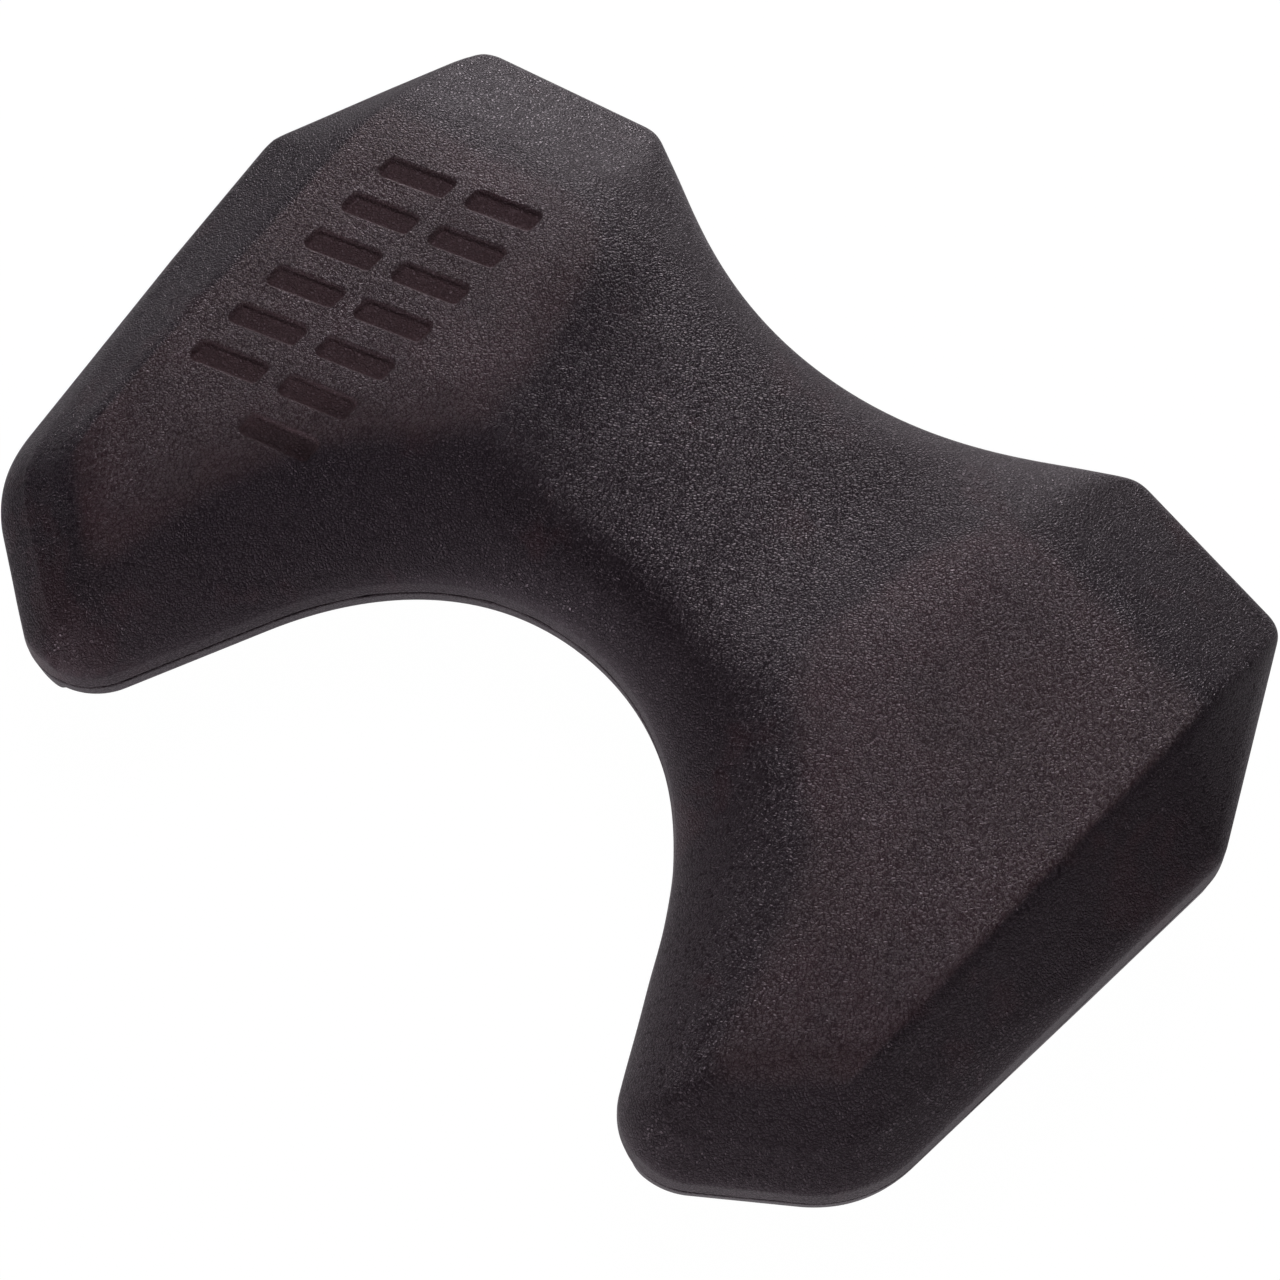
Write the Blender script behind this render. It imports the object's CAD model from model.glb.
"""Visual model of an EVA foam pull buoy: two moulded halves and the adhesive between them.

Sizes are millimetres.  The plan is drawn in X and Y and is symmetric about X = 0, with the
back notch towards +Y and the thigh arch towards -Y.  Heights are measured from the bond
plane between the halves.  In the frame the float is centred in Y and rests on Z = 0.
"""
import math

import bpy
import numpy as np
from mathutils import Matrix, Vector, geometry, noise


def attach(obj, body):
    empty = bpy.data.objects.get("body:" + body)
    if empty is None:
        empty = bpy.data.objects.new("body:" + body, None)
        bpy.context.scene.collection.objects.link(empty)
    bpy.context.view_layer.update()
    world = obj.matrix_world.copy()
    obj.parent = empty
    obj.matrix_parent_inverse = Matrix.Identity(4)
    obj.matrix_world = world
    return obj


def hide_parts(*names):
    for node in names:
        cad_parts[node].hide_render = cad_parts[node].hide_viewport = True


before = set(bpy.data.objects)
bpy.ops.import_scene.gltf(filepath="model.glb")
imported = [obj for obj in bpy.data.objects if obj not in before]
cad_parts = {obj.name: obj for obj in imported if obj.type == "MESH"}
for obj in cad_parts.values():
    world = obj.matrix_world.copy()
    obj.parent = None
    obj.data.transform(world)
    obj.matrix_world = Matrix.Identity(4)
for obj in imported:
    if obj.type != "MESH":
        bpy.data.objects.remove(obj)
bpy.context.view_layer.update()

MM = 0.001

# Plan outline of the +X half.  Corners are (x, y, corner radius).
NOTCH_Y = 76.3          # lowest point of the back notch, on the symmetry plane
NOTCH_HANDLE = 30.0     # how far the notch runs flat before it climbs
NOTCH_RISE = math.radians(28.0)   # angle at which the notch climbs to the back corner
NOTCH_LEAD = 12.3       # straight run into the back corner, and handle of the curve before it
BACK_CORNER = (71.8, 101.6, 10.0)
SHOULDER_CORNER = (117.7, 92.6, 7.5)
SIDE_CORNER = (140.4, 39.5, 15.0)
HEEL_CORNER = (127.9, -67.5, 31.0)
TOE_CORNER = (81.5, -99.4, 16.3)
FLANK_END = (58.4, -51.1)         # where the straight flank of the thigh arch starts to curve
FLANK_HANDLE = 22.7
ARCH_Y = -9.7           # crown of the thigh arch
ARCH_HANDLE = 29.9
RIM_COUNT = 560         # points along the outline of the +X half

# Relief of one half, as heights over the bond plane
PAD_Z = 26.0            # flat pad on each lobe, half of the 52 mm thickness
CROWN_Z = 27.6          # the lobe top falls away around the pad as a shallow crown cut flat
CROWN_AT = (95.0, 30.0)
CROWN_BEND = 0.0005     # 1/mm
EDGE_Z = 9.5            # where the heel facet would meet the side wall without its round
CREASE_X = 118.4        # where the lobe top breaks into the side bevel
CREASE_TURN = 0.0654    # the break runs in towards the heel from CREASE_Y on
CREASE_Y = 48.0
LEAST_RISE = 2.0        # lower limit of the side bevel's rise and width
HEEL_SLOPE = 0.66
BACK_ROLL = (8.2, 33.0, 66.0, 1.6)    # height at the rim, height it heads for, width, power
NOTCH_ROLL = (29.0, 59.6, 2.4)        # quarter ellipse: height, width, start outside the rim
ARCH_ROLL = (30.0, 62.0, 0.7)
RIDGE = ((68.5, 95.5), (41.0, 9.0))   # inner edge of the lobe top, from +Y to -Y
RIDGE_SLOPE = 0.42
SADDLE_Z = 19.6
SADDLE_BEND = 0.0011    # 1/mm
EDGE_ROUND = ((3.0, 0.25), (11.0, 0.5))  # round at the rim, at the back and at the heel: its
                                         # width, and its share of the height

# Recessed ornament on the upper half's -X lobe: two rows of slanted bars
BAR_SIZE = (6.2, 16.5)  # along the row, across the row
BAR_SLANT = 5.0
BAR_ROUND = 1.6
BAR_DEPTH = 1.2
BAR_PITCH = 12.6
BAR_ROWS = ((-98.5, 15.5, 6), (-77.5, 15.5, 7))   # x of the row, y of its middle, bars
# Mesh contours around each bar's edge, as offsets outward
BAR_STEPS = (1.0, 0.62, 0.34, 0.12, -0.08, -0.28, -0.5, -0.78, -1.15)
BAR_CLEAR = (-0.08, 1.53)   # band kept free for the contours: its middle and half width

# Mesh rows at the rim, and the wall down to the bond
RIM_STEPS = (0.0, 0.06, 0.18, 0.36, 0.62, 0.95, 1.4, 1.95, 2.6, 3.35, 4.2, 5.15, 6.2)
INNER_STEP = 0.92       # spacing of the mesh points inside the rim rows
INNER_MARGIN = 0.5      # their clearance from the last rim row
WALL_DRAFT = 0.4        # how far the wall leans out from the rim down to the lip
WALL_SHARES = (0.2, 0.42, 0.64, 0.84, 1.0)   # wall rows, from the rim down to the lip
LIP_Z = 0.75            # top of the moulded lip at the seam
LEAST_Z = 0.13          # nearest that the foam comes to the bond plane
# Lip rows: height, offset outward, share of the ripple and nicks that lifts the row
LIP_ROWS = ((0.48, -0.03, 1.0), (0.30, -0.14, 1.0), (0.20, -0.34, 1.0),
            (0.16, -0.62, 1.0), (0.15, -1.3, 0.3), (0.15, -2.6, 0.3))
# Nicks in the lip: x, y, half width, size
NICKS = ((-45.1, -31.1, 2.2, 0.30), (-23.5, -14.4, 1.4, 0.35), (-11.6, -10.5, 2.4, 0.40),
         (0.5, -10.1, 1.6, 0.30), (20.2, -12.8, 3.2, 0.50), (37.3, -22.9, 1.8, 0.25),
         (-85.4, -90.0, 2.0, 0.25), (62.0, -74.0, 1.6, 0.30))
LOWER_NICK = 0.35       # size of the lower half's nicks, as a share of the upper's

# Section of the adhesive film: height, offset outward, share of the edge's unevenness
FILM_ROWS = ((0.11, -2.2, 0.0), (0.12, -0.75, 1.0), (0.08, -0.42, 1.0), (0.0, -0.30, 1.0),
             (-0.08, -0.42, 1.0), (-0.12, -0.75, 1.0), (-0.11, -2.2, 0.0))


# Curves in the plan

def unit(vector):
    vector = np.asarray(vector, float)
    return vector / np.linalg.norm(vector)


def corner_arc(before, corner, after, steps):
    """Arc of the corner's radius, tangent to both of its sides."""
    at, radius = np.array(corner[:2]), corner[2]
    back, ahead = unit(np.array(before[:2]) - at), unit(np.array(after[:2]) - at)
    half = math.acos(float(back @ ahead)) / 2
    centre = at + unit(back + ahead) * radius / math.sin(half)
    start = at + back * radius / math.tan(half) - centre
    end = at + ahead * radius / math.tan(half) - centre
    first = math.atan2(start[1], start[0])
    turn = (math.atan2(end[1], end[0]) - first + math.pi) % (2 * math.pi) - math.pi
    angles = first + turn * np.linspace(0, 1, steps + 1)
    return centre + radius * np.stack([np.cos(angles), np.sin(angles)], 1)


def bezier(start, leave, arrive, end, steps):
    done = np.linspace(0, 1, steps + 1)[:, None]
    left = 1 - done
    start, leave, arrive, end = (np.array(p, float) for p in (start, leave, arrive, end))
    return (left ** 3 * start + 3 * left ** 2 * done * leave
            + 3 * left * done * done * arrive + done ** 3 * end)


def without_repeats(points):
    keep = [0]
    for i in range(1, len(points)):
        if np.linalg.norm(points[i] - points[keep[-1]]) > 1e-6:
            keep.append(i)
    return points[keep]


def spread(points, sharpness, count):
    """Resample a curve to count points: evenly by length, and closer where it bends."""
    points = without_repeats(points)
    moves = np.diff(points, axis=0)
    heading = np.unwrap(np.arctan2(moves[:, 1], moves[:, 0]))
    bend = np.concatenate([[0], np.abs(np.diff(heading))])
    lengths = np.linalg.norm(moves, axis=1) + sharpness * bend
    share = np.concatenate([[0], np.cumsum(lengths)])
    share /= share[-1]
    at = np.linspace(0, 1, count)
    return np.stack([np.interp(at, share, points[:, axis]) for axis in (0, 1)], 1)


def distance(points, line):
    """Distance from each point to a polyline."""
    line = without_repeats(line)
    best = np.full(len(points), np.inf)
    for start, side in zip(line[:-1], line[1:] - line[:-1]):
        share = np.clip(((points - start) @ side) / (side @ side), 0, 1)
        gap = np.linalg.norm(points - start - share[:, None] * side, axis=1)
        best = np.minimum(best, gap)
    return best


def ring_normals(ring):
    """Unit normals of a closed ring; they point outward when it runs anticlockwise."""
    tangent = np.roll(ring, -1, 0) - np.roll(ring, 1, 0)
    tangent /= np.linalg.norm(tangent, axis=1)[:, None]
    return np.stack([tangent[:, 1], -tangent[:, 0]], 1)


def inside(points, ring):
    """Even-odd test of points against a closed polygon."""
    x, y = points[:, 0], points[:, 1]
    found = np.zeros(len(points), bool)
    for (from_x, from_y), (to_x, to_y) in zip(ring, np.roll(ring, -1, 0)):
        crosses = (from_y > y) != (to_y > y)
        if from_y != to_y:
            cut = (to_x - from_x) * (y - from_y) / (to_y - from_y) + from_x
            found ^= crosses & (x < cut)
    return found


# Plan outline

NOTCH_WAY = np.array([math.cos(NOTCH_RISE), math.sin(NOTCH_RISE)])
NOTCH_END = np.array(BACK_CORNER[:2]) - NOTCH_LEAD * NOTCH_WAY


def notch_curve(steps):
    """Back notch, from the symmetry plane towards the back corner."""
    return bezier((0, NOTCH_Y), (NOTCH_HANDLE, NOTCH_Y),
                  NOTCH_END - NOTCH_LEAD * NOTCH_WAY, NOTCH_END, steps)


def arch_curve(steps):
    """Thigh arch, from the end of its straight flank to the symmetry plane."""
    way = unit(np.array(FLANK_END) - np.array(TOE_CORNER[:2]))
    return bezier(FLANK_END, FLANK_END + FLANK_HANDLE * way, (ARCH_HANDLE, ARCH_Y),
                  (0, ARCH_Y), steps)


def notch_line():
    """Back notch, run on straight past the back corner."""
    line = notch_curve(24)
    return np.concatenate([line, line[-1:] + 40 * unit(line[-1] - line[-2])])


def arch_line():
    """Thigh arch from the symmetry plane to the middle of the toe."""
    toe = corner_arc(HEEL_CORNER, TOE_CORNER, FLANK_END, 24)
    return np.concatenate([toe[12:], arch_curve(36)])[::-1]


def outline():
    """Outline of the +X half at fine spacing, from the back notch to the arch crown."""
    stops = (NOTCH_END, BACK_CORNER, SHOULDER_CORNER, SIDE_CORNER, HEEL_CORNER, TOE_CORNER,
             FLANK_END)
    arcs = [corner_arc(*stops[i:i + 3], steps) for i, steps in enumerate((48, 48, 48, 96, 96))]
    rim = spread(np.concatenate([notch_curve(96), *arcs, arch_curve(144)]), 6.0, RIM_COUNT)
    rim[0, 0] = rim[-1, 0] = 0.0
    return rim


NOTCH_LINE = notch_line()
ARCH_LINE = arch_line()
RIM = outline()
RING = np.concatenate([RIM, (RIM * [-1, 1])[::-1][1:-1]])[::-1]   # whole, anticlockwise
OUTWARD = ring_normals(RING)
MIDDLE_Y = (RIM[:, 1].max() + RIM[:, 1].min()) / 2


# Relief

def progress(low, high, value):
    """How far value has come from low to high, held within 0 to 1."""
    return np.clip((value - low) / (high - low), 0, 1)


def smooth(low, high, value):
    share = progress(low, high, value)
    return share * share * (3 - 2 * share)


def blend_low(first, second, width):
    """The lower of two heights, rounded where they differ by less than width."""
    near = np.maximum(width - np.abs(first - second), 0) / width
    return np.minimum(first, second) - near * near * width / 4


def blend_high(first, second, width):
    return -blend_low(-first, -second, width)


def fold(points):
    """The points mirrored onto the +X half."""
    return np.abs(points) * [1, 0] + points * [0, 1]


def behind(points, first, second):
    """Distance of the points inside the straight side from first to second."""
    along = unit(np.array(second[:2]) - np.array(first[:2]))
    return (points - np.array(first[:2])) @ np.array([along[1], -along[0]])


def bulge(rim_distance, shape):
    """Height of a quarter-ellipse roll at a distance from the rim."""
    height, width, start = shape
    left = np.clip(1 - (rim_distance + start) / (width + start), 0, 1)
    return height * np.sqrt(1 - left * left)


def crown(points):
    x, y = points[:, 0], points[:, 1]
    return CROWN_Z - CROWN_BEND * ((x - CROWN_AT[0]) ** 2 + (y - CROWN_AT[1]) ** 2)


def lobe_top(points):
    """Crown cut flat at the pad, and rolled down to the back rim."""
    top = blend_low(crown(points), PAD_Z, width=0.5)
    low, high, width, power = BACK_ROLL
    share = np.clip(behind(points, BACK_CORNER, SHOULDER_CORNER) / width, 0, 1)
    return blend_low(top, low + (high - low) * (1 - (1 - share) ** power), width=5.0)


def side_bevel(points):
    """Ruled face from the crease on the lobe top down to the side rim."""
    x, y = points[:, 0], points[:, 1]
    crease = CREASE_X + CREASE_TURN * np.minimum(y - CREASE_Y, 0)
    rim = np.minimum(*(
        start[0] + (y - start[1]) * (end[0] - start[0]) / (end[1] - start[1])
        for start, end in ((SHOULDER_CORNER, SIDE_CORNER), (SIDE_CORNER, HEEL_CORNER))
    ))
    rise = np.maximum(lobe_top(np.stack([crease, y], 1)) - EDGE_Z, LEAST_RISE)
    return EDGE_Z + rise * (rim - x) / np.maximum(rim - crease, LEAST_RISE)


def relief(points, edge_distance):
    """Height of the half's outer face over the bond plane."""
    points = fold(points)
    x, y = points[:, 0], points[:, 1]
    heel = EDGE_Z + HEEL_SLOPE * behind(points, HEEL_CORNER, TOE_CORNER)
    lobe = blend_low(lobe_top(points), side_bevel(points), width=1.8)
    lobe = blend_low(lobe, heel, width=4.0)

    # The flank that falls from the lobe's inner ridge to the saddle
    ridge_start, ridge_end = np.array(RIDGE[0]), np.array(RIDGE[1])
    along = unit(ridge_end - ridge_start)
    inward = np.array([along[1], -along[0]])
    off = (points - ridge_start) @ inward
    flank = lobe_top(points - off[:, None] * inward) - RIDGE_SLOPE * off
    inner = blend_high(flank, SADDLE_Z + SADDLE_BEND * x * x, width=4.0)

    # The ridge softens towards the arch, and the notch roll towards the middle
    top = blend_low(lobe, inner, width=1.8 + 6.0 * (1 - progress(5.0, 65.0, y)))
    notch = bulge(distance(points, NOTCH_LINE), NOTCH_ROLL)
    top = blend_low(top, notch, width=1.5 + 4.5 * progress(62.0, 37.0, x))

    # Round at the rim, tight at the back and broad at the heel and toe
    share = progress(0.0, -60.0, y)
    width, depth = ((1 - share) * back + share * front for back, front in zip(*EDGE_ROUND))
    edge = np.clip(1 - edge_distance / width, 0, 1)
    top = top * (1 - depth * (1 - np.sqrt(1 - edge * edge)))
    return blend_low(top, bulge(distance(points, ARCH_LINE), ARCH_ROLL), width=4.0)


def waves(points, length, seed):
    """Smooth noise over the plan, with features about the given length across."""
    return np.array([noise.noise(Vector((x / length, y / length, seed))) for x, y in points])


# Recessed bars

def bar_ring(x, y):
    """Slanted rounded outline of one bar about its middle, anticlockwise."""
    along, across = BAR_SIZE[0] / 2, BAR_SIZE[1] / 2
    lean = BAR_SLANT / 2
    corners = [(-across, -along - lean), (across, -along + lean),
               (across, along + lean), (-across, along - lean)]
    ring = np.concatenate([
        corner_arc(corners[i - 1], (*corners[i], BAR_ROUND), corners[(i + 1) % 4], 8)
        for i in range(4)
    ])
    ring = spread(np.concatenate([ring, ring[:1]]), 1.5, 112)[:-1]
    return ring + [x, y]


def bar_rings():
    return [bar_ring(x, middle + (i - (count - 1) / 2) * BAR_PITCH)
            for x, middle, count in BAR_ROWS for i in range(count)]


def signed_distance(points, ring):
    """Distance to a closed ring, negative inside it."""
    gap = distance(points, np.concatenate([ring, ring[:1]]))
    return np.where(inside(points, ring), -gap, gap)


def bar_field(points, rings):
    """Signed distance to the nearest bar, far from zero where there is none."""
    field = np.full(len(points), 50.0)
    for ring in rings:
        low, high = ring.min(0) - 3, ring.max(0) + 3
        near = np.all((points > low) & (points < high), axis=1)
        if near.any():
            field[near] = np.minimum(field[near], signed_distance(points[near], ring))
    return field


# Meshes

def strip(lower, upper):
    """Quads between two closed rows of vertex indices."""
    return np.stack([lower, np.roll(lower, -1), np.roll(upper, -1), upper], 1)


def mesh_piece(name, plan, z, face_groups, fields):
    """Mesh object from plan points and heights about the bond plane, put in the frame."""
    verts = np.stack([plan[:, 0], plan[:, 1] - MIDDLE_Y, z + PAD_Z], 1) * MM
    faces = [face for group in face_groups for face in group.tolist()]
    mesh = bpy.data.meshes.new(name)
    mesh.from_pydata(verts.tolist(), [], faces)
    mesh.validate()
    mesh.update()
    mesh.shade_smooth()
    mesh.set_sharp_from_angle(angle=math.radians(65))
    for field, values in fields.items():
        data = mesh.attributes.new(field, "FLOAT", "POINT").data
        data.foreach_set("value", np.asarray(values, np.float32))
    obj = bpy.data.objects.new(name, mesh)
    bpy.context.scene.collection.objects.link(obj)
    return obj


def lattice(spacing, margin):
    """Hexagonal points over the whole plan that stay a margin clear of the outline."""
    rows = []
    for row, y in enumerate(np.arange(-110, 110, spacing * math.sqrt(0.75))):
        x = np.arange(0.5 * (row % 2), 150 / spacing) * spacing
        rows.append(np.stack([x, np.full_like(x, y)], 1))
    points = np.concatenate(rows)
    # The small shift counts points on the symmetry plane as inside
    points = points[inside(points + [1e-6, 0], RIM)]
    points = points[distance(points, RIM) > margin]
    mirrored = points[points[:, 0] > 1e-9] * [-1, 1]
    return np.concatenate([points, mirrored])


def fill(border, inner):
    """Triangles over the area inside a closed border with the given inner points."""
    points = np.concatenate([border, inner])
    edges = [(i, (i + 1) % len(border)) for i in range(len(border))]
    verts, _, faces, sources, _, _ = geometry.delaunay_2d_cdt(
        [Vector(p) for p in points], edges, [], 1, 1e-7)
    if len(verts) != len(points):
        raise ValueError("the plan fill added or merged points")
    triangles = np.array([[sources[i][0] for i in face] for face in faces])
    start, second, third = (points[triangles[:, corner]] for corner in range(3))
    one, two = second - start, third - start
    turned = one[:, 0] * two[:, 1] - one[:, 1] * two[:, 0] < 0
    triangles[turned] = triangles[turned][:, ::-1]
    return triangles


def masks(points, heights, bars):
    """Where the pad, its worn crease and the recesses show, one value per vertex."""
    folded = fold(points)
    recess = smooth(0.35, -0.6, bars)
    off = side_bevel(folded) - lobe_top(folded)   # grows inward from the crease
    drop = np.minimum(crown(folded), PAD_Z) - heights - BAR_DEPTH * recess
    pad = (1 - smooth(0.5, 2.6, drop)) * smooth(-0.3, 1.2, off)
    worn = np.exp(-(np.maximum(off - 2.0, 0) / 22.0) ** 2 - (np.minimum(off, 0) / 2.0) ** 2)
    crease = worn * pad * smooth(-45, 15, folded[:, 1])
    return pad, crease, recess


def wall(top, upper, seed):
    """Rows of the side wall and the nicked lip, from below the rim to the bond."""
    broad, fine = waves(RING, 13, seed + 3), waves(RING, 4, seed + 5)
    nick = np.zeros(len(RING))
    for x, y, width, size in NICKS:
        nick += size * np.exp(-(np.hypot(RING[:, 0] - x, RING[:, 1] - y) / width) ** 2)
    if not upper:
        nick *= LOWER_NICK
    lip = LIP_Z + 0.10 * broad + 0.6 * nick
    rows = [(top + (lip - top) * share, WALL_DRAFT * share + 0.10 * share * broad)
            for share in WALL_SHARES]
    for height, out, lift in LIP_ROWS:
        rows.append((height + lift * (0.05 * broad + 0.04 * fine + nick),
                     WALL_DRAFT + out + 0.10 * broad + 0.05 * fine - 0.5 * nick))
    plan = np.concatenate([RING + out[:, None] * OUTWARD for _, out in rows])
    return plan, np.concatenate([np.maximum(height, LEAST_Z) for height, _ in rows])


def foam_half(name, upper, seed):
    rings = bar_rings() if upper else []
    inner = lattice(INNER_STEP, RIM_STEPS[-1] + INNER_MARGIN)
    middle, clear = BAR_CLEAR
    inner = inner[np.abs(bar_field(inner, rings) - middle) > clear]
    contours = [bar + step * ring_normals(bar) for bar in rings for step in BAR_STEPS]
    inner = np.concatenate([inner, *contours])

    # Outer face: rows from the rim inward, then the inner points
    count = len(RING)
    steps = [RING - step * OUTWARD for step in RIM_STEPS]
    triangles = fill(steps[-1], inner) + (len(RIM_STEPS) - 1) * count
    edge_distance = np.concatenate([np.repeat(RIM_STEPS, count), np.full(len(inner), 99.0)])
    plan = np.concatenate(steps + [inner])
    heights = relief(plan, edge_distance)
    bars = bar_field(plan, rings)
    pad, crease, recess = masks(plan, heights, bars)

    # Slow waviness of a foam moulding, faded at the rim and cut off at the pad
    uneven = 0.16 * waves(plan, 34, seed) + 0.07 * waves(plan, 11, seed + 9)
    heights = heights + uneven * smooth(0.0, 8.0, edge_distance + 1.0)
    heights = np.minimum(heights - 0.10 * smooth(0.0, 8.0, edge_distance), PAD_Z)
    heights = heights - BAR_DEPTH * smooth(0.30, -0.85, bars)
    wall_plan, wall_z = wall(heights[:count], upper, seed)

    index = np.arange(count)
    groups = [strip(index + i * count, index + (i + 1) * count)
              for i in range(len(RIM_STEPS) - 1)]
    above = index
    for first in range(len(plan), len(plan) + len(wall_z), count):
        groups.append(strip(first + index, above))
        above = first + index
    groups += [triangles, above[None, ::-1]]
    if not upper:
        groups = [group[:, ::-1] for group in groups]

    none = np.zeros(len(wall_z))
    fields = {
        "pad": np.concatenate([pad, none]),
        "crease": np.concatenate([crease, none]),
        "recess": np.concatenate([recess, none]),
        "band": np.concatenate([smooth(2.4, 0.0, edge_distance), none + 1.0]),
        "seam": np.concatenate([np.zeros(len(plan)), smooth(1.1, 0.35, wall_z)]),
    }
    z = np.concatenate([heights, wall_z]) * (1 if upper else -1)
    return mesh_piece(name, np.concatenate([plan, wall_plan]), z, groups, fields)


def seam_bead(name, seed):
    """Film of dried adhesive between the halves, with an uneven outer edge."""
    unrest = 0.16 * waves(RING, 9, seed) + 0.10 * waves(RING, 2.5, seed + 4)
    plan = np.concatenate([RING + (out + share * unrest)[:, None] * OUTWARD
                           for _, out, share in FILM_ROWS])
    z = np.repeat([row[0] for row in FILM_ROWS], len(RING))
    rows = np.arange(len(z)).reshape(len(FILM_ROWS), -1)
    groups = [strip(low, high) for high, low in zip(rows[:-1], rows[1:])]
    groups += [rows[:1], rows[-1:, ::-1]]
    return mesh_piece(name, plan, z, groups, {})


# Materials

class Material:
    """Short calls for building one node material."""

    def __init__(self, name):
        self.material = bpy.data.materials.new(name)
        self.material.use_nodes = True
        self.tree = self.material.node_tree
        self.shader = self.tree.nodes["Principled BSDF"]

    def put(self, socket, value):
        if isinstance(value, bpy.types.NodeSocket):
            self.tree.links.new(value, socket)
        else:
            socket.default_value = value

    def surface(self, inputs):
        for key, value in inputs.items():
            self.put(self.shader.inputs[key], value)

    def node(self, kind, inputs=(), **settings):
        made = self.tree.nodes.new(kind)
        for key, value in settings.items():
            setattr(made, key, value)
        for key, value in dict(inputs).items():
            self.put(made.inputs[key], value)
        return made

    def place(self):
        return self.node("ShaderNodeTexCoord").outputs["Object"]

    def field(self, name):
        return self.node("ShaderNodeAttribute", attribute_name=name).outputs["Fac"]

    def math(self, operation, first, second=0.0):
        inputs = {0: first, 1: second, 2: 0.0}
        return self.node("ShaderNodeMath", inputs, operation=operation).outputs[0]

    def plus(self, value, add):
        return self.math("ADD", value, add)

    def minus(self, value, take):
        return self.math("SUBTRACT", value, take)

    def times(self, value, by):
        return self.math("MULTIPLY", value, by)

    def invert(self, value):
        return self.minus(1.0, value)

    def linear(self, value, base, gain):
        return self.plus(base, self.times(value, gain))

    def off_level(self, value, level):
        return self.math("ABSOLUTE", self.minus(value, level))

    def vector(self, operation, inputs, out="Vector"):
        return self.node("ShaderNodeVectorMath", inputs, operation=operation).outputs[out]

    def noise(self, at, scale, detail=2.0, rough=0.5, out="Fac"):
        inputs = {"Vector": at, "Scale": scale, "Detail": detail, "Roughness": rough}
        return self.node("ShaderNodeTexNoise", inputs).outputs[out]

    def cells(self, at, scale, feature, out="Distance"):
        inputs = {"Vector": at, "Scale": scale}
        return self.node("ShaderNodeTexVoronoi", inputs, feature=feature).outputs[out]

    def ramp(self, value, over, to=(0.0, 1.0)):
        """Smooth step from to[0] to to[1] while value runs over the given span."""
        inputs = {"Value": value, "From Min": over[0], "From Max": over[1],
                  "To Min": to[0], "To Max": to[1]}
        return self.node("ShaderNodeMapRange", inputs,
                         interpolation_type="SMOOTHSTEP").outputs["Result"]

    def mix(self, share, off, on):
        """Colour between off and on."""
        off, on = ((*c, 1.0) if isinstance(c, tuple) else c for c in (off, on))
        inputs = {"Factor": share, 6: off, 7: on}
        return self.node("ShaderNodeMix", inputs, data_type="RGBA").outputs[2]

    def blend(self, share, off, on):
        """Number between off and on."""
        inputs = {"Factor": share, 2: off, 3: on}
        return self.node("ShaderNodeMix", inputs, data_type="FLOAT").outputs[0]

    def bump(self, height, distance):
        inputs = {"Strength": 1.0, "Distance": distance, "Height": height}
        return self.node("ShaderNodeBump", inputs).outputs["Normal"]


PLUM = (0.0340, 0.0060, 0.0100)
UMBER = (0.0340, 0.0120, 0.0120)
SLATE = (0.0100, 0.0044, 0.0078)
INK = (0.0060, 0.0022, 0.0070)
CREVICE = (0.0030, 0.0020, 0.0026)
DUST = (0.2000, 0.1500, 0.1450)
RECESS_ROSE = (0.140, 0.078, 0.088)
SEAM_STAIN = (0.0060, 0.0025, 0.0025)
SPECK = (0.30, 0.27, 0.25)
PIT = (0.001, 0.001, 0.001)
GLUE_DARK = (0.004, 0.003, 0.003)
GLUE_BROWN = (0.020, 0.007, 0.006)


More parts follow.
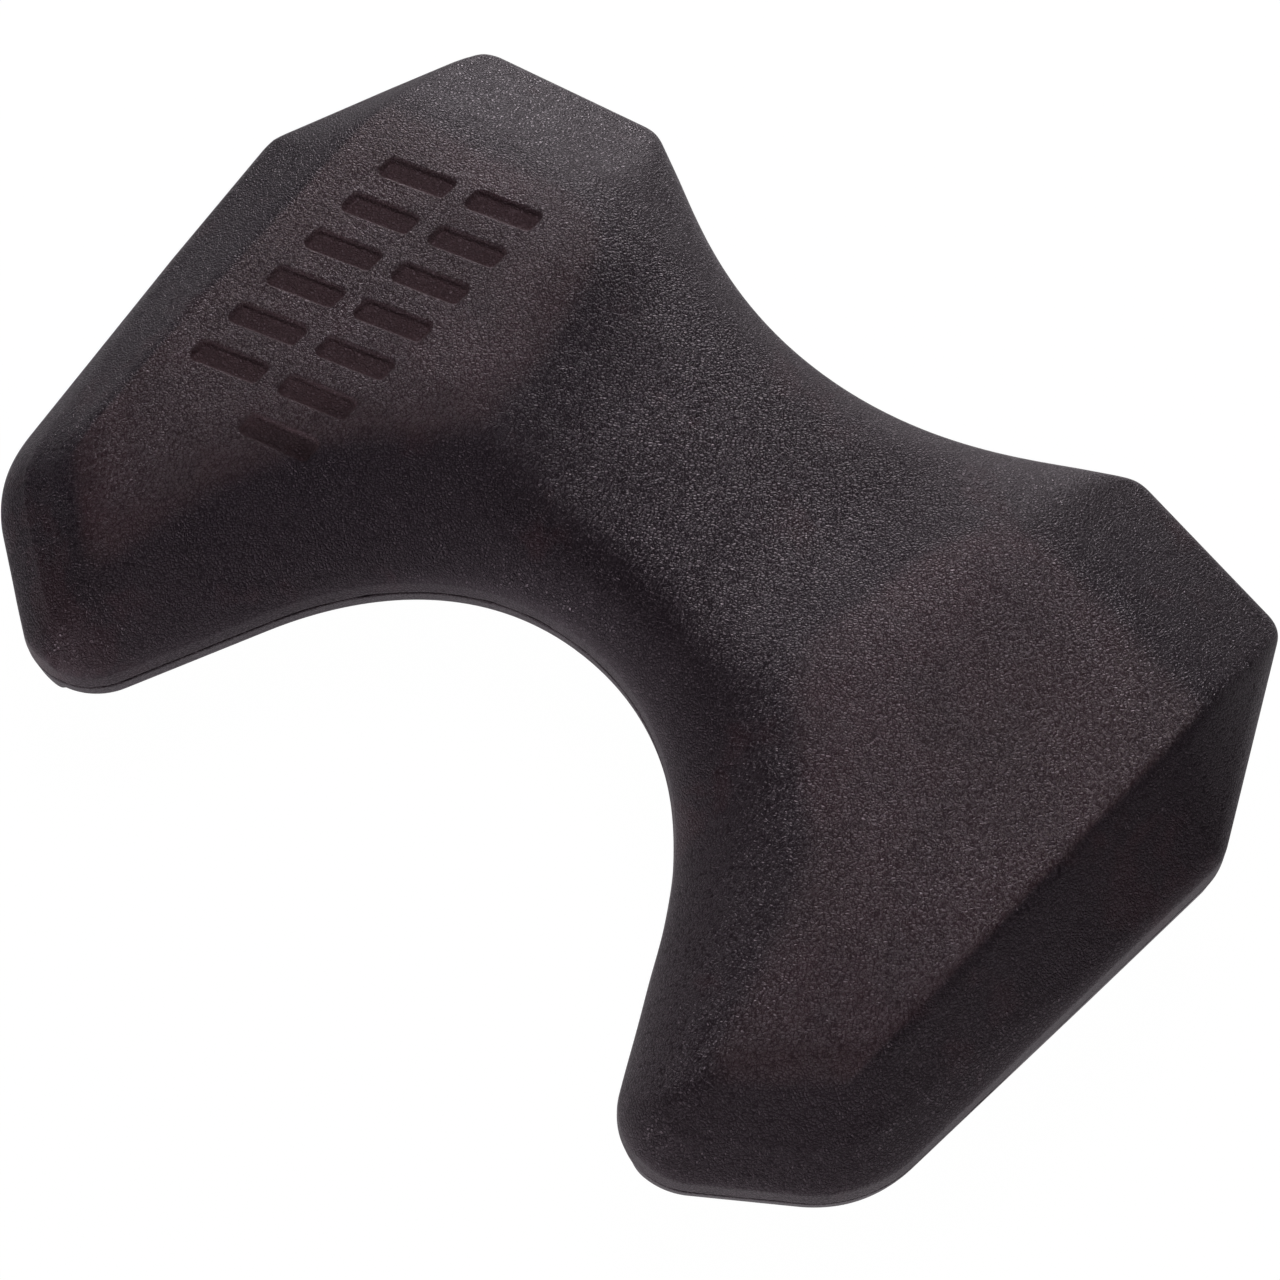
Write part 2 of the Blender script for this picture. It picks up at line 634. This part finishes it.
def foam_finish(name, seed):
    mat = Material(name)
    place = mat.vector("ADD", {0: mat.place(), 1: (0.37 * seed, 0.21 * seed, 0.13 * seed)})
    pad, crease, recess, band, seam = (
        mat.field(f) for f in ("pad", "crease", "recess", "band", "seam"))

    # Pebbled skin: domes of under a millimetre, broken up by short wandering folds
    wander = mat.vector("SUBTRACT", {0: mat.noise(place, scale=1000.0, out="Color"),
                                     1: (0.5, 0.5, 0.5)})
    shift = mat.vector("SCALE", {0: wander, "Scale": 0.0007})
    warped = mat.vector("ADD", {0: place, 1: shift})
    valley = mat.cells(warped, scale=1250.0, feature="DISTANCE_TO_EDGE")
    pebble = mat.ramp(valley, over=(0.0, 0.30))
    crinkle = mat.off_level(mat.noise(warped, scale=1250.0, rough=0.6), level=0.5)
    crinkle = mat.ramp(crinkle, over=(0.0, 0.045))
    grit = mat.noise(place, scale=3800.0, rough=0.6)
    patch = mat.noise(place, scale=24.0, detail=3.0, rough=0.55)
    cloud = mat.noise(place, scale=9.0)
    mottle = mat.noise(place, scale=130.0, detail=3.0, rough=0.6)
    skin = mat.times(pebble, mat.linear(crinkle, base=0.45, gain=0.55))
    crack = mat.invert(mat.times(mat.ramp(valley, over=(0.01, 0.16)),
                                 mat.linear(crinkle, base=0.55, gain=0.45)))

    # On the lobe tops the skin is finer, with short pale crests that wander like worm tracks
    track = mat.off_level(mat.noise(warped, scale=1500.0, detail=1.5, rough=0.55), level=0.52)
    track = mat.ramp(track, over=(0.070, 0.008))
    gate = mat.ramp(mat.noise(place, scale=1000.0, detail=1.0), over=(0.40, 0.58))
    crest = mat.times(track, gate)

    # Colour: plum on the tops, slate to ink elsewhere, in soft-edged blotches
    blotch = mat.ramp(mat.noise(place, scale=46.0, detail=4.0, rough=0.62), over=(0.42, 0.62))
    plum = mat.mix(mat.ramp(patch, over=(0.35, 0.68)), PLUM, UMBER)
    plum = mat.mix(mat.times(blotch, by=0.35), plum, SLATE)
    slate = mat.mix(mat.ramp(cloud, over=(0.35, 0.65)), INK, SLATE)
    stain = mat.ramp(mat.noise(place, scale=38.0, detail=4.0, rough=0.6), over=(0.56, 0.66))
    slate = mat.mix(mat.times(stain, by=0.5), slate, PLUM)
    stray = mat.minus(mat.noise(place, scale=60.0, detail=3.0), take=0.5)
    reach = mat.times(2.4, by=mat.times(pad, mat.invert(pad)))
    soft_pad = mat.plus(pad, mat.times(stray, reach))
    colour = mat.mix(mat.ramp(soft_pad, over=(0.0, 1.0)), slate, plum)
    colour = mat.mix(mat.ramp(mottle, over=(0.3, 0.75), to=(0.0, 0.25)), colour, CREVICE)
    colour = mat.mix(mat.times(crack, mat.blend(pad, off=0.35, on=0.45)), colour, CREVICE)

    # Pale crests, strongest along the worn crease
    pale = mat.times(pad, mat.ramp(patch, over=(0.25, 0.7), to=(0.10, 0.22)))
    pale = mat.times(crest, pale)
    pale = mat.plus(pale, mat.times(mat.times(crest, crease), by=0.55))
    colour = mat.mix(pale, colour, DUST)

    # Recesses are paler towards their top, by height in metres; the seam is stained dark
    level = mat.node("ShaderNodeSeparateXYZ", {0: mat.place()}).outputs["Z"]
    rosy = mat.times(recess, mat.ramp(level, over=(0.0494, 0.0507), to=(0.08, 0.60)))
    colour = mat.mix(rosy, colour, RECESS_ROSE)
    colour = mat.mix(mat.times(seam, by=0.65), colour, SEAM_STAIN)

    # Stray specks of dust, and small dark pits, picked by each cell's random colour
    scatter = mat.cells(place, scale=46.0, feature="F1")
    lot = mat.node("ShaderNodeSeparateColor",
                   {0: mat.cells(place, scale=46.0, feature="F1", out="Color")}).outputs[0]
    dot = mat.ramp(scatter, over=(0.016, 0.010))
    speck = mat.times(dot, mat.ramp(lot, over=(0.80, 0.82), to=(0.0, 0.8)))
    colour = mat.mix(speck, colour, SPECK)
    pit = mat.times(dot, mat.ramp(lot, over=(0.22, 0.20)))
    colour = mat.mix(pit, colour, PIT)

    rough = mat.blend(pad, off=0.40, on=0.47)
    rough = mat.plus(rough, mat.ramp(patch, over=(0.3, 0.7), to=(-0.04, 0.05)))
    rough = mat.plus(rough, mat.times(crack, by=0.14))
    shine = mat.times(mat.blend(crack, off=0.80, on=0.40), mat.blend(pad, off=0.90, on=1.20))

    # Bump: the moulded wall by the seam is smoother than the rest
    calm = mat.invert(mat.times(band, by=0.60))
    coarse = mat.times(skin, mat.times(calm, mat.blend(pad, off=1.15, on=0.85)))
    crests = mat.times(crest, mat.times(pad, by=0.7))
    height = mat.plus(coarse, mat.plus(crests, mat.times(grit, by=0.25)))
    height = mat.minus(height, mat.times(pit, by=3.0))
    mat.surface({
        "Base Color": colour,
        "Roughness": rough,
        "Specular IOR Level": shine,
        "Specular Tint": (1.0, 0.80, 0.93, 1.0),
        "Sheen Weight": 0.05,
        "Sheen Roughness": 0.35,
        "Sheen Tint": (1.0, 0.88, 0.98, 1.0),
        "Normal": mat.bump(height, distance=0.00020),
    })
    return mat.material


def glue_finish(name):
    mat = Material(name)
    place = mat.place()
    streak = mat.ramp(mat.noise(place, scale=240.0, detail=3.0, rough=0.6), over=(0.35, 0.7))
    mat.surface({
        "Base Color": mat.mix(streak, GLUE_DARK, GLUE_BROWN),
        "Roughness": mat.ramp(mat.noise(place, scale=700.0), over=(0.3, 0.7), to=(0.35, 0.6)),
        "Normal": mat.bump(mat.noise(place, scale=900.0), distance=0.0001),
    })
    return mat.material


def pieces():
    parts = (
        (foam_half("upper_foam_skin", upper=True, seed=1.0),
         foam_finish("eva_skin_upper", seed=0.0), "upper_float_half", "eva_foam_upper"),
        (foam_half("lower_foam_skin", upper=False, seed=7.0),
         foam_finish("eva_skin_lower", seed=1.0), "lower_float_half", "eva_foam_lower"),
        (seam_bead("seam_glue_bead", seed=4.0),
         glue_finish("dried_adhesive"), "bond_line_adhesive", "contact_adhesive"),
    )
    for piece, material, node, slot in parts:
        piece.data.materials.append(material)
        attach(piece, "root")
        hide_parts(node)


# Studio, in metres

FLOOR_HALF = 4.0
FILL = 0.025            # strength of the sky's even fill on the foam
LIGHT_TARGET = Vector((0, 0, 0.02))
# Soft boxes: name, azimuth (0 is +Y, 90 is +X), elevation, size, power in watts, distance
LIGHTS = (
    ("key", 330, 60, (0.5, 0.4), 1.9, 0.8),
    ("back_low", 326, 5, (0.65, 0.40), 18.0, 1.6),
    ("front_low", 182, 5, (0.9, 0.25), 11.5, 1.6),
    ("front_left", 205, 8, (0.6, 0.25), 1.8, 1.6),
    ("side_low", 95, 4, (0.7, 0.20), 5.4, 1.6),
)
VIEW_LENS = 84.23       # mm, on a 36 mm sensor
VIEW_TURN = math.radians(40.28)    # the view heads this far from +Y towards -X
VIEW_DOWN = math.radians(66.93)
VIEW_TARGET = Vector((0.00874, -0.00469, 0.026))
VIEW_DISTANCE = 0.674


def floor():
    """Grey floor that looks nearly white to the camera and glows around the float."""
    mesh = bpy.data.meshes.new("floor")
    corners = [(x * FLOOR_HALF, y * FLOOR_HALF, 0) for x, y in ((-1, -1), (1, -1), (1, 1), (-1, 1))]
    mesh.from_pydata(corners, [], [(0, 1, 2, 3)])
    obj = bpy.data.objects.new("floor", mesh)
    bpy.context.scene.collection.objects.link(obj)
    mat = Material("pale_floor")
    radius = mat.vector("LENGTH", {0: mat.place()}, out="Value")
    white = mat.node("ShaderNodeEmission", {"Color": (1.0, 1.0, 1.0, 1.0), "Strength": 1.17})
    seen = mat.node("ShaderNodeLightPath").outputs["Is Camera Ray"]
    glow = mat.times(mat.ramp(radius, over=(0.16, 0.28), to=(0.58, 0.0)), mat.invert(seen))
    mat.surface({
        "Base Color": (0.15, 0.15, 0.15, 1.0),
        "Roughness": 0.9,
        "Specular IOR Level": 0.0,
        "Emission Color": (1.0, 0.96, 0.99, 1.0),
        "Emission Strength": glow,
    })
    both = mat.node("ShaderNodeMixShader", {0: mat.times(seen, by=0.85),
                                            1: mat.shader.outputs[0], 2: white.outputs[0]})
    mat.put(mat.tree.nodes["Material Output"].inputs["Surface"], both.outputs[0])
    mesh.materials.append(mat.material)


def sky():
    """White to the camera, and a faint even fill to the foam."""
    world = bpy.data.worlds.new("soft_room")
    bpy.context.scene.world = world
    world.use_nodes = True
    tree = world.node_tree
    path = tree.nodes.new("ShaderNodeLightPath")
    strength = tree.nodes.new("ShaderNodeMapRange")
    strength.inputs["To Min"].default_value = FILL
    strength.inputs["To Max"].default_value = 1.0
    background = tree.nodes["Background"]
    tree.links.new(path.outputs["Is Camera Ray"], strength.inputs["Value"])
    tree.links.new(strength.outputs["Result"], background.inputs["Strength"])
    background.inputs["Color"].default_value = (1.0, 1.0, 1.0, 1.0)


def soft_light(name, azimuth, elevation, size, power, away):
    """Soft box that faces the middle of the float and is hidden from the camera."""
    data = bpy.data.lights.new(name, "AREA")
    data.shape = "RECTANGLE"
    data.size, data.size_y = size
    data.energy = power
    obj = bpy.data.objects.new(name, data)
    turn, lift = math.radians(azimuth), math.radians(elevation)
    way = Vector((math.sin(turn) * math.cos(lift), math.cos(turn) * math.cos(lift),
                  math.sin(lift)))
    obj.location = LIGHT_TARGET + way * away
    obj.rotation_euler = way.to_track_quat("Z", "Y").to_euler()
    obj.visible_camera = False
    bpy.context.scene.collection.objects.link(obj)


def camera():
    data = bpy.data.cameras.new("view")
    data.sensor_width = 36.0
    data.lens = VIEW_LENS
    obj = bpy.data.objects.new("view", data)
    ahead = Vector((-math.sin(VIEW_TURN) * math.cos(VIEW_DOWN),
                    math.cos(VIEW_TURN) * math.cos(VIEW_DOWN), -math.sin(VIEW_DOWN)))
    obj.location = VIEW_TARGET - VIEW_DISTANCE * ahead
    obj.rotation_euler = ahead.to_track_quat("-Z", "Y").to_euler()
    bpy.context.scene.collection.objects.link(obj)
    bpy.context.scene.camera = obj


pieces()
floor()
sky()
for light in LIGHTS:
    soft_light(*light)
camera()
bpy.context.scene.view_settings.view_transform = "Standard"
